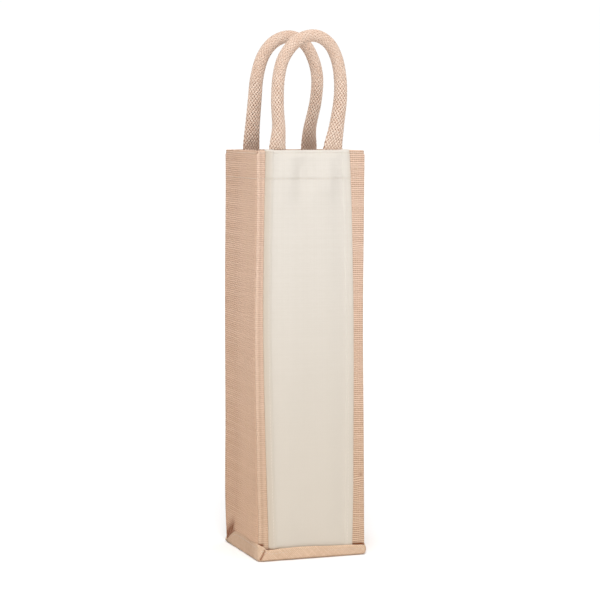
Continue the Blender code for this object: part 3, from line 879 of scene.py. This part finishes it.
def base_and_cuff(material):
    """One cloth: the floor, the rounded foot, the cuff up the walls and its edge turned in."""
    places, outward, sides = cuff_outline(1.1 * MM if FULL else 3 * MM)
    tops = cuff_height(places, sides)
    around = lengths_along(np.vstack([places, places[:1]]))[:-1]
    inset = JUTE / 2
    is_front = np.array([side == "front" for side in sides])
    is_left = np.array([side == "left" for side in sides])
    rows, crease = [], []
    for scale in (0.06, 0.2, 0.4, 0.6, 0.8, 0.9):
        xy = places * scale
        rise = inset + 0.05 * MM + 0.3 * MM * (1 - scale * scale)
        rows.append(np.column_stack([xy, np.full(len(xy), rise)]))
        crease.append(np.zeros(len(xy)))
    for back, z in ((3.4, 0.55), (2.2, 0.6), (1.4, 0.8), (0.9, 1.15), (0.62, 1.6)):
        xy = places - outward * back * MM
        rows.append(np.column_stack([xy, np.full(len(xy), z * MM)]))
        # A faint painted shade round the rounded foot.
        crease.append(np.full(len(xy), 0.05))
    climb = 14 if FULL else 8
    wave = 0.35 * MM * ripple("cuff", around, 0 * around, 0.09, 0.03)
    for i in range(climb + 1):
        z = CUFF_WALL_FOOT + (np.maximum(tops, 2.6 * MM) - 0.6 * MM - CUFF_WALL_FOOT) * i / climb
        x = places[:, 0]
        flap = np.where(is_front, mitre(x, z), 0.0)
        stand = FLAP_STAND * flap * is_front + wave * ease(z / (4 * MM))
        stand = stand + 0.25 * MM * np.sin(math.pi * np.clip(z / tops, 0, 1))
        stand = stand + 0.8 * MM * hump(x - 51 * MM, 3.5 * MM) * hump(z - 4.5 * MM, 3 * MM)
        xy = places + outward * (stand - inset)[:, None]
        rows.append(np.column_stack([xy, z]))
        # Painted shade along the mitre fold on the front, and a little over the whole left side.
        edge = hump(x - fold_place(z) - 0.3 * MM, 0.8 * MM) * is_front * (z < 10.8 * MM)
        crease.append(edge + 0.14 * is_left * ease((places[:, 1] + 42 * MM) / (8 * MM)))
    last = rows[-1]
    for i in range(1, 6):
        turn = math.pi * i / 5
        xy = last[:, :2] - outward * (CUFF_TURNED / 2 * (1 - math.cos(turn)))
        rows.append(np.column_stack([xy, last[:, 2] + CUFF_TURNED / 2 * math.sin(turn)]))
        crease.append(np.zeros(len(xy)))
    for down in (1.2, 2.4, 3.6):
        xy = last[:, :2] - outward * CUFF_TURNED
        rows.append(np.column_stack([xy, np.maximum(last[:, 2] - down * MM, 1.6 * MM)]))
        # Painted shade on the inside of the turned-in edge.
        crease.append(np.full(len(xy), 0.3))
    points = np.array(rows)
    rise = lengths_along(points[:, len(places) // 9])
    uv = np.stack(np.broadcast_arrays(around[None, :], rise[:, None]), -1)
    piece = woven_sheet("base_and_cuff", points, uv, material, np.array(crease), closed=True)
    close_floor(piece, len(places))
    lay_weave_straight(piece)
    thicken(piece, JUTE)
    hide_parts("base_panel")
    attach(piece, "bag")
    return piece


def close_floor(piece, count):
    """Fills the small hole in the middle of the floor."""
    make_active(piece)
    bpy.ops.object.mode_set(mode="EDIT")
    bpy.ops.mesh.select_mode(type="VERT")
    bpy.ops.object.mode_set(mode="OBJECT")
    for vertex in piece.data.vertices:
        vertex.select = vertex.index < count
    for line in piece.data.edges:
        line.select = max(line.vertices) < count
    for face in piece.data.polygons:
        face.select = False
    bpy.ops.object.mode_set(mode="EDIT")
    bpy.ops.mesh.fill()
    bpy.ops.object.mode_set(mode="OBJECT")


def lay_weave_straight(piece):
    """The yarns run straight across the floor, and not round it."""
    mesh = piece.data
    corners = mesh.uv_layers["cloth"].data
    for face in mesh.polygons:
        if face.center.z < FLOOR_TOP:
            for corner in face.loop_indices:
                place = mesh.vertices[mesh.loops[corner].vertex_index].co
                corners[corner].uv = (place.x, place.y)


# The handles.


def curve_through(points, step):
    """Evenly spaced points on a Catmull-Rom curve through (x, z) points."""
    p = np.array(points)
    p = np.vstack([2 * p[0] - p[1], p, 2 * p[-1] - p[-2]])
    fine = []
    for a, b, c, d in zip(p, p[1:], p[2:], p[3:]):
        for t in np.arange(0, 1, 1 / 24):
            bend = (2 * a - 5 * b + 4 * c - d) * t * t + (3 * b - a - 3 * c + d) * t**3
            fine.append((2 * b + (c - a) * t + bend) / 2)
    fine.append(p[-2])
    fine = np.array(fine)
    at = lengths_along(fine)
    count = int(round(at[-1] / step))
    even = np.linspace(0, at[-1], count + 1)
    return np.column_stack([np.interp(even, at, fine[:, i]) for i in range(2)]), even


class HandleLine:
    """A handle's middle line with its section: across, in the loop's plane, and deep, along Y."""

    def __init__(self, where, route, y, step):
        flat, self.at = curve_through(route, step)
        shift = (-0.9 if y < 0 else 0.5) * MM * (1 - ease((flat[:, 1] - RIM) / 0.04))
        self.middle = np.column_stack([flat[:, 0], y + shift, flat[:, 1]])
        ahead = np.gradient(self.middle, axis=0)
        self.ahead = ahead / np.linalg.norm(ahead, axis=1)[:, None]
        self.across = np.column_stack([self.ahead[:, 2], np.zeros(len(flat)), -self.ahead[:, 0]])
        length = self.at[-1]
        left = through(LEG_WIDTHS[f"{where}_left"], self.at / MM)
        right = through(LEG_WIDTHS[f"{where}_right"], (length - self.at) / MM)
        share = ease((self.at / length - 0.4) / 0.2)
        width = MM * (left * (1 - share) + right * share)
        self.half_width = width / 2
        end = np.minimum(self.at, length - self.at)
        flattest = 1.35 * MM + 1.3 * MM * ease((end - 24 * MM) / (12 * MM))
        round_depth = np.sqrt(np.maximum(HANDLE**2 / 2 - self.half_width**2, 1e-9))
        self.half_depth = np.sqrt(flattest**2 + round_depth**2)
        self.half_depth = np.minimum(self.half_depth, HANDLE / 2 * 1.02)

    def section(self, number, shares, sink):
        """Points and outward directions at shares of the way round, a little under the surface."""
        a, b = self.half_width[number] - sink, max(self.half_depth[number] - sink, 0.35 * MM)
        turn = np.linspace(0, 2 * math.pi, 145)
        arcs = lengths_along(np.column_stack([a * np.cos(turn), b * np.sin(turn)]))
        at = np.interp((shares % 1.0) * arcs[-1], arcs, turn)
        side, deep = self.across[number], np.array([0.0, 1.0, 0.0])
        places = self.middle[number] + np.outer(a * np.cos(at), side) + np.outer(b * np.sin(at), deep)
        out = np.outer(np.cos(at) / a, side) + np.outer(np.sin(at) / b, deep)
        return places, out / np.linalg.norm(out, axis=1)[:, None]


def strands(name, centres, outwards, across, section, tones, material, creases=None, sides_dark=0.8):
    """Yarns along lines of centres (yarn, station, xyz), each with the same closed section."""
    yarns, stations = centres.shape[:2]
    ahead = np.gradient(centres, axis=1)
    ahead /= np.linalg.norm(ahead, axis=2)[..., None]
    beside = np.cross(ahead, outwards)
    beside /= np.linalg.norm(beside, axis=2)[..., None]
    up = np.cross(beside, ahead)
    sides = len(section)
    rings = centres[:, :, None] + beside[:, :, None] * section[:, 0, None] * across[..., None, None]
    rings = rings + up[:, :, None] * section[:, 1, None]
    index = np.arange(yarns * stations * sides).reshape(yarns, stations, sides)
    index = np.concatenate([index, index[..., :1]], 2)
    corners = ((0, 0), (0, 1), (1, 1), (1, 0))
    faces = np.stack([index[:, r : stations - 1 + r, c : c + sides] for r, c in corners], -1).reshape(-1, 4)
    lengths = np.linalg.norm(np.diff(centres, axis=1), axis=2).cumsum(1)
    lengths = np.concatenate([np.zeros((yarns, 1)), lengths], 1) + np.arange(yarns)[:, None] * 0.0137
    grid = np.stack(np.broadcast_arrays(lengths[..., None], np.arange(sides + 1) / sides), -1)
    corner_uv = np.stack([grid[:, r : stations - 1 + r, c : c + sides] for r, c in corners], 3).reshape(-1, 2)
    caps, cap_uv = [], []
    for yarn in range(yarns):
        caps += [index[yarn, 0, :sides][::-1].tolist(), index[yarn, -1, :sides].tolist()]
        cap_uv += [grid[yarn, 0, :sides], grid[yarn, -1, :sides]]
    uv = np.vstack([corner_uv, *cap_uv])
    shade = None
    if creases is not None:
        # Painted shade on the lower side of each yarn.
        under = ease(0.55 - section[:, 1] / section[:, 1].max())
        shade = np.clip(creases[..., None] + np.multiply.outer(sides_dark, under), 0, 1)
    piece = piece_from(name, rings.reshape(-1, 3), faces.tolist() + caps, uv, material, shade)
    mark(piece, "tone", np.repeat(tones, stations * sides))
    outward_faces(piece)
    return piece


def outward_faces(piece):
    make_active(piece)
    bpy.ops.object.mode_set(mode="EDIT")
    bpy.ops.mesh.select_all(action="SELECT")
    bpy.ops.mesh.normals_make_consistent(inside=False)
    bpy.ops.object.mode_set(mode="OBJECT")


def braid(where, line, hand_tabs, material):
    """A sleeve of yarns that cross over and under, from one sewn end to the other."""
    chance = random.Random(where)
    sink = YARN_THICKNESS / 2 + YARN_LIFT * 0.6
    stations = len(line.at)
    crown = ease((line.middle[:, 2] - CROWN) / CROWN_RISE)
    shares = np.arange(YARNS) / YARNS
    centres, outwards = np.zeros((2 * YARNS, stations, 3)), np.zeros((2 * YARNS, stations, 3))
    for number, at in enumerate(line.at):
        around = np.concatenate([shares + at / LAY, shares + 0.5 / YARNS - at / LAY])
        places, out = line.section(number, around, sink)
        lift = YARN_LIFT * math.cos(math.pi * at / CROSSING + math.pi / 2)
        squeeze = min(1.0, line.half_depth[number] / (2.4 * MM))
        lifts = np.repeat([lift, -lift], YARNS) * (0.45 + 0.55 * squeeze) * (1 - 0.35 * crown[number])
        centres[:, number] = places + out * lifts[:, None]
        outwards[:, number] = out
    flat_ness = np.clip(line.half_width / (HANDLE / 2), 1.0, 1.6)
    across = np.broadcast_to((0.92 + 0.16 * flat_ness) / 1.08 * (1 + 0.22 * crown), (2 * YARNS, stations))
    half = YARN_WIDTH / 2
    thick = YARN_THICKNESS / 2
    section = np.array([(1, 0), (0.62, 0.86), (-0.62, 0.86), (-1, 0), (-0.62, -0.86), (0.62, -0.86)])
    section = section * np.array([half, thick])
    tones = [chance.random() for _ in range(2 * YARNS)]
    end = np.minimum(line.at, line.at[-1] - line.at)
    # Painted shade where the braid passes the rim, and on the rear one low down near the rim.
    at_rim = 0.1 * hump(end - (RIM - TAB_FOOT + 0.5 * MM), 1.6 * MM)
    if where == "rear":
        at_rim = at_rim + 0.12 * ease((0.395 - line.middle[:, 2]) / 0.035)
    # Painted shade where a yarn dips under the others, less over the crown, and a little over the whole
    # crown.
    under = np.cos(math.pi * line.at / CROSSING + math.pi / 2)
    under = np.repeat([under, -under], YARNS, axis=0)
    creases = np.clip(at_rim + 0.25 * crown + (0.95 - 0.85 * crown) * ease(0.45 - under), 0, 1)
    sides_dark = np.broadcast_to(0.85 - 0.75 * crown, (2 * YARNS, stations))
    piece = strands(f"{where}_handle_braid", centres, outwards, across, section, tones, material, creases,
                    sides_dark)
    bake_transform(piece)
    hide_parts(f"{where}_handle_sleeve", *hand_tabs)
    return piece


def filler(where, line, body, material):
    """The cord inside the round part of a braid: three soft strands laid together."""
    begin = int(np.argmax(line.at > FILLER_START))
    keep = slice(begin, len(line.at) - begin, 3)
    at = line.at[keep]
    count = 3
    ends = np.minimum(at - at[0], at[-1] - at)
    neck = 0.55 + 0.45 * ease(ends / (6 * MM))
    radius = STRAND_PLACE * neck
    turns = 2 * math.pi * (np.arange(count)[:, None] / count + at[None, :] / LAY_OF_STRANDS)
    deep = np.array([0.0, 1.0, 0.0])
    outward = np.cos(turns)[..., None] * line.across[keep][None] + np.sin(turns)[..., None] * deep
    centres = line.middle[keep][None] + outward * radius[None, :, None]
    sides = 10
    turn = 2 * math.pi * np.arange(sides) / sides
    section = np.column_stack([np.cos(turn), np.sin(turn)]) * STRAND
    across = np.broadcast_to(np.ones(len(at)), (count, len(at)))
    piece = strands(f"{where}_handle_filler", centres, outward, across, section, [0.3, 0.6, 0.9], material)
    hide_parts(f"{where}_handle_core")
    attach(piece, body)
    return piece


# Stitching. The pitch is the distance from one stitch to the next.

ROW_PITCH = 3.2 * MM
CANVAS_PITCH = 3.0 * MM
SEAM_PITCH = 3.4 * MM
TAB_PITCH = 2.4 * MM
TAB_BOX = 5.6 * MM  # half the width of the box sewn through a tab
SEAM_DEPTH = 3.85 * MM  # of the seam row, under the outer face of the front or the back


def one_stitch():
    """A stitch of thread along X, its ends dipping into the cloth below."""
    clear_selection()
    bpy.ops.mesh.primitive_cylinder_add(
        vertices=6, radius=0.17 * MM, depth=1.3 * MM, rotation=(0, math.pi / 2, 0), end_fill_type="NGON"
    )
    stitch = bpy.context.active_object
    bpy.ops.object.transform_apply(location=True, rotation=True, scale=True)
    bpy.ops.object.mode_set(mode="EDIT")
    bpy.ops.mesh.select_mode(type="FACE")
    for sign in (-1, 1):
        bpy.ops.mesh.select_all(action="DESELECT")
        bpy.ops.object.mode_set(mode="OBJECT")
        for face in stitch.data.polygons:
            face.select = face.normal.x * sign > 0.9
        bpy.ops.object.mode_set(mode="EDIT")
        for out, down, size in ((0.35, -0.08, 0.95), (0.25, -0.22, 0.6)):
            move = {"value": (sign * out * MM, 0, down * MM)}
            bpy.ops.mesh.extrude_region_move(TRANSFORM_OT_translate=move)
            bpy.ops.transform.resize(value=(size, size, size))
    bpy.ops.object.mode_set(mode="OBJECT")
    return stitch


def sorted_parts(mesh):
    """A mesh's vertices and faces in a fixed order, which an extrusion doesn't leave them in."""
    places = [tuple(vertex.co) for vertex in mesh.vertices]
    order = sorted(range(len(places)), key=places.__getitem__)
    number = {old: new for new, old in enumerate(order)}
    faces = []
    for face in mesh.polygons:
        ring = [number[v] for v in face.vertices]
        first = ring.index(min(ring))
        faces.append(ring[first:] + ring[:first])
    return np.array([places[v] for v in order]), sorted(faces)


def stitch_row(name, places, stitch, tone, material, node):
    """Copies of the stitch as one row. Each place is (point, along, outward)."""
    shape, shape_faces = sorted_parts(stitch.data)
    lengthwise = shape[:, 0]
    round_it = [math.atan2(z, y) / math.tau for y, z in shape[:, 1:]]
    chance = random.Random(name)
    vertices, faces, uv = [], [], []
    for number, (point, along, outward) in enumerate(places):
        along, outward = Vector(along).normalized(), Vector(outward).normalized()
        beside = outward.cross(along).normalized()
        wobble = along + beside * chance.uniform(-0.05, 0.05)
        axes = np.array([wobble.normalized(), beside, outward])
        vertices.append(shape @ axes + np.array(point))
        faces += [[v + number * len(shape) for v in face] for face in shape_faces]
        for face in shape_faces:
            uv += [(lengthwise[v] + number * 0.003, round_it[v]) for v in face]
    piece = piece_from(name, np.vstack(vertices), faces, uv, material)
    mark(piece, "tone", np.full(len(piece.data.vertices), tone))
    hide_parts(node)
    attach(piece, "bag")
    return piece


def wall_place(side, along, z, depth, upright=False):
    """A stitch's place on a wall, at a distance from the wall's first corner."""
    step = 0.2 * MM
    zs = np.array([z, z])
    ends = on_wall(side, np.zeros(2), np.array([along, along + step]), np.array([depth, depth]), zs)
    ahead = Vector(ends[1] - ends[0])
    outward = Vector((ahead.y, -ahead.x, 0))
    return ends[0], (Vector((0, 0, 1)) if upright else ahead), outward


def row_round_walls(z, pitch):
    places = []
    for side, (first, last) in SIDES.items():
        a, b = (corner_at(number, np.array(z)) for number in (first, last))
        width = float(np.linalg.norm(b - a))
        count = int((width - 6 * MM) / pitch)
        for i in range(count + 1):
            along = 3 * MM + (width - 6 * MM) * i / count
            depth = front_surface(a[0] + along, z) if side == "front" else -RIB_HEIGHT
            places.append(wall_place(side, along, z, depth - 0.02 * MM))
    return places


def upright_canvas_row(edge, inward, pitch, top):
    places = []
    count = int((top - CANVAS_ROW_FOOT) / pitch)
    for i in range(count + 1):
        z = CANVAS_ROW_FOOT + (top - CANVAS_ROW_FOOT) * i / count
        x = float(canvas_edge(edge, np.array(z))) + inward * (CANVAS_TURN - 1.5 * MM)
        along = x - float(corner_at(0, np.array(z))[0])
        places.append(wall_place("front", along, z, front_surface(x, z) - 0.02 * MM, upright=True))
    return places


def cuff_row(pitch):
    places, outward, sides = cuff_outline(pitch)
    tops = cuff_height(places, sides)
    found = []
    ahead = np.roll(places, -1, axis=0) - np.roll(places, 1, axis=0)
    for (x, y), out, top, along, side in zip(places, outward, tops, ahead, sides):
        if np.linalg.norm(along) < 1.2 * pitch:
            continue
        z = max(top - 3 * MM, 1.8 * MM)
        flap = FLAP_STAND * float(mitre(x, z)) if side == "front" else 0.0
        stand = flap + 0.2 * MM
        found.append(((x + out[0] * stand, y + out[1] * stand, z), (*along, 0), (*out, 0)))
    return found


def seam_row(front, left, bottom, top, pitch):
    """The gusset's seam, on the inner face of the allowance behind the front or the back."""
    sx, sy = (-1 if left else 1), (-1 if front else 1)
    x = low(f"{'front' if front else 'rear'}_{'left' if left else 'right'}_seam_stitching").x
    y = sy * (abs(FRONT) - SEAM_DEPTH)
    count = int((top - bottom) / pitch)
    heights = [bottom + (top - bottom) * i / count for i in range(count + 1)]
    return [((x + sx * 0.4 * MM, y, z), (0, 0, 1), (0, -sy, 0)) for z in heights]


def tab_box(node, x, y, inward, pitch):
    """A box with a cross, sewn through a tab's flat face."""
    bottom, top = low(node).z + 0.3 * MM, high(node).z - 0.3 * MM
    corners = [(x - TAB_BOX, bottom), (x + TAB_BOX, bottom), (x + TAB_BOX, top), (x - TAB_BOX, top)]
    lines = [(corners[i], corners[(i + 1) % 4]) for i in range(4)] + [(corners[0], corners[2]),
                                                                      (corners[3], corners[1])]
    places = []
    for (x0, z0), (x1, z1) in lines:
        length = math.hypot(x1 - x0, z1 - z0)
        count = int(length / pitch)
        for i in range(count):
            share = (i + 0.5) / count
            point = (x0 + (x1 - x0) * share, y, z0 + (z1 - z0) * share)
            places.append((point, (x1 - x0, 0, z1 - z0), (0, inward, 0)))
    return places


# The stage.


def studio():
    """A pale floor in even white light, brighter to the camera than on the bag, and a soft key."""
    bpy.ops.mesh.primitive_plane_add(size=FLOOR_SIZE, location=(0, 0, 0))
    floor = bpy.context.active_object
    floor.name = "floor"
    floor.data.materials.append(floor_material())
    world = bpy.data.worlds.new("studio")
    bpy.context.scene.world = world
    world.use_nodes = True
    n = Nodes(world.node_tree)
    seen = n.add("ShaderNodeLightPath")
    strength = n.math("MULTIPLY_ADD", seen, SKY_SEEN - SKY, SKY)
    n.feed(world.node_tree.nodes["Background"].inputs["Color"], (1, 1, 1, 1))
    n.feed(world.node_tree.nodes["Background"].inputs["Strength"], strength)
    for name, towards, spread, strength in SUNS:
        light = bpy.data.lights.new(name, "SUN")
        light.angle = math.radians(spread)
        light.energy = strength
        lamp = bpy.data.objects.new(name, light)
        lamp.rotation_euler = (-Vector(towards)).to_track_quat("-Z", "Y").to_euler()
        bpy.context.scene.collection.objects.link(lamp)
    light = bpy.data.lights.new("top_softbox", "AREA")
    light.shape = "SQUARE"
    light.size = TOP_SIZE
    light.energy = TOP_POWER
    lamp = bpy.data.objects.new("top_softbox", light)
    lamp.location = TOP_PLACE
    lamp.rotation_euler = (Vector(TOP_AIM) - lamp.location).to_track_quat("-Z", "Y").to_euler()
    bpy.context.scene.collection.objects.link(lamp)
    bpy.context.scene.view_settings.view_transform = "Standard"


def camera():
    """Stands to the left of the bag, a little above its middle, and looks slightly down."""
    yaw, pitch = math.radians(EYE_YAW), math.radians(EYE_PITCH)
    back = Vector((math.sin(yaw), -math.cos(yaw), 0))
    ahead = -back * math.cos(pitch) + Vector((0, 0, -math.sin(pitch)))
    right = Vector((math.cos(yaw), math.sin(yaw), 0))
    up = right.cross(ahead)
    data = bpy.data.cameras.new("camera")
    data.lens = LENS
    data.sensor_width = 36.0
    eye = bpy.data.objects.new("camera", data)
    turn = Matrix([right, up, -ahead]).transposed()
    eye.matrix_world = Matrix.Translation(EYE) @ turn.to_4x4()
    bpy.context.scene.collection.objects.link(eye)
    bpy.context.scene.camera = eye


def main():
    camera()
    studio()
    jute = jute_material("jute", foot=FRONT_FOOT_SHADE)
    # The sides' jute is a darker copy of the front's: painted shade for the sides.
    side_jute = jute_material("side_jute", gap=0.75, tint=SIDE_SHADE_TINT)
    bias_jute = jute_material("bias_jute", math.radians(45), gap=0.4, pitch=0.7, body=0.6, tint=CUFF_TINT)
    canvas = canvas_material()
    webbing = yarn_material("webbing", *WEBBING_TONES, plies=3.0, lay=2.6 * MM, depth=0.15 * MM)
    cotton = yarn_material("filler_cotton", *FILLER_TONES, plies=4.0, lay=7 * MM, depth=0.25 * MM)
    thread = yarn_material("thread", *THREAD_TONES, plies=2.0, lay=0.8 * MM, depth=0.05 * MM, gap=0.1)

    for side, node, edge, cloth in (
        ("front", "front_panel", BEAD, jute),
        ("back", "back_panel", BEAD, jute),
        ("left", "left_gusset", TUCK, side_jute),
        ("right", "right_gusset", TUCK, side_jute),
    ):
        wall(side, node, edge, cloth)
    canvas_panel(canvas)
    base_and_cuff(bias_jute)

    step = 0.6 * MM if FULL else 1.0 * MM
    for where, route, y in (("front", FRONT_ROUTE, FRONT_HANDLE_Y), ("rear", REAR_ROUTE, REAR_HANDLE_Y)):
        line = HandleLine(where, route, y, step)
        tabs = [f"{where}_{hand}_handle_tab" for hand in ("left", "right")]
        braid(where, line, tabs, webbing)
        filler(where, line, f"{where}_handle", cotton)

    stitch = one_stitch()
    stitch_row("rim_stitches", row_round_walls(RIM_ROW, ROW_PITCH), stitch, 0.8, thread, "rim_stitching")
    stitch_row("hem_stitches", row_round_walls(HEM_ROW, ROW_PITCH), stitch, 0.8, thread, "hem_stitching")
    stitch_row("cuff_stitches", cuff_row(ROW_PITCH), stitch, 0.5, thread, "cuff_stitching")
    for hand, edge, inward in (("left", CANVAS_LEFT, 1), ("right", CANVAS_RIGHT, -1)):
        places = upright_canvas_row(edge, inward, CANVAS_PITCH, high(f"canvas_{hand}_stitching").z)
        stitch_row(f"canvas_{hand}_stitches", places, stitch, 1.0, thread, f"canvas_{hand}_stitching")
    for where in ("front", "rear"):
        for hand in ("left", "right"):
            node = f"{where}_{hand}_seam_stitching"
            places = seam_row(where == "front", hand == "left", low(node).z, high(node).z, SEAM_PITCH)
            stitch_row(f"{where}_{hand}_seam_stitches", places, stitch, 0.6, thread, node)
            node = f"{where}_{hand}_tab_stitching"
            tab = f"{where}_{hand}_handle_tab"
            x = (low(tab).x + high(tab).x) / 2
            inward = 1 if where == "front" else -1
            y = (low(tab).y + high(tab).y) / 2 + inward * 1.5 * MM
            places = tab_box(node, x, y, inward, TAB_PITCH)
            stitch_row(f"{where}_{hand}_tab_stitches", places, stitch, 0.7, thread, node)
    bpy.data.objects.remove(stitch)


main()
